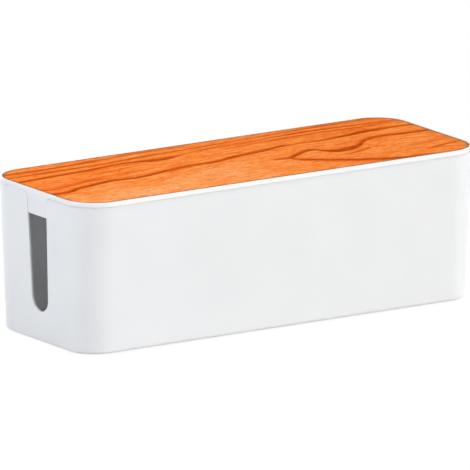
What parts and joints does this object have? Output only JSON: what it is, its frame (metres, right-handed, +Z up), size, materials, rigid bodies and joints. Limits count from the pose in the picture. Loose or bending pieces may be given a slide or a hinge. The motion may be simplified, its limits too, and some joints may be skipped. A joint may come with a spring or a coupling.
{
  "type": "cable management box",
  "caption": "Long moulded box that hides a power strip and its spare cable, with a cable slot in each end and a lift-off lid that carries a wood-grain panel.",
  "frame": {"origin": "middle of the footprint, on the surface that the feet stand on", "axes": "+X along the box towards its right end, -Y out of its front, +Z up"},
  "size_m": [0.4, 0.146, 0.1306],
  "materials": {
    "tub_abs": "moulded ABS, satin white",
    "lid_abs": "moulded ABS, satin white",
    "wood": "orange-brown wood grain, satin lacquer",
    "adhesive": "acrylic adhesive sheet",
    "foot_rubber": "moulded rubber, matt"
  },
  "bodies": {
    "box": {"tub": "tub_abs", "foot_front_left": "foot_rubber", "foot_front_right": "foot_rubber", "foot_rear_left": "foot_rubber", "foot_rear_right": "foot_rubber"},
    "lid": {"lid_tray": "lid_abs", "wood_panel": "wood", "panel_adhesive": "adhesive"}
  },
  "joints": [
    {"name": "lid_lift", "type": "slide", "parent": "box", "child": "lid", "axis": [0, 0, 1], "range_m": [0, 0.06]}
  ]
}
